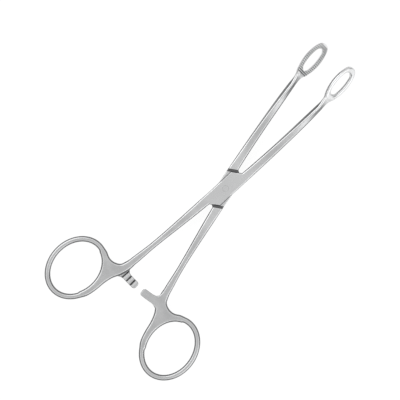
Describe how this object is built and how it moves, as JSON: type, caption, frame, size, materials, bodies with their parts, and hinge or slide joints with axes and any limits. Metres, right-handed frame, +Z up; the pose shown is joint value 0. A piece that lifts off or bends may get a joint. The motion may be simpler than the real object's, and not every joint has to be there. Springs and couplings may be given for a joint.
{
  "type": "sponge holding forceps",
  "caption": "Straight ring-handled forceps with a box lock, a stepped ratchet and oval, fenestrated, serrated jaws for holding folded sponges.",
  "frame": {"origin": "on the axis of the joint pin, in the lower flat face of the box lock", "axes": "+Y from the pin to the jaws, +X to the instrument's right side, +Z up, along the pin, with the instrument lying flat"},
  "size_m": [0.0884, 0.1801, 0.0088],
  "materials": {
    "satin_steel": "satin, polished edges",
    "pin_steel": "ground flush, satin"
  },
  "bodies": {
    "female_body": {"female_half": "satin_steel", "joint_pin": "pin_steel"},
    "male_body": {"male_half": "satin_steel"}
  },
  "joints": [
    {"name": "box_lock", "type": "hinge", "parent": "female_body", "child": "male_body", "pos_m": [0, 0, 0], "axis": [0, 0, 1], "range_deg": [-10.2, 45]}
  ]
}
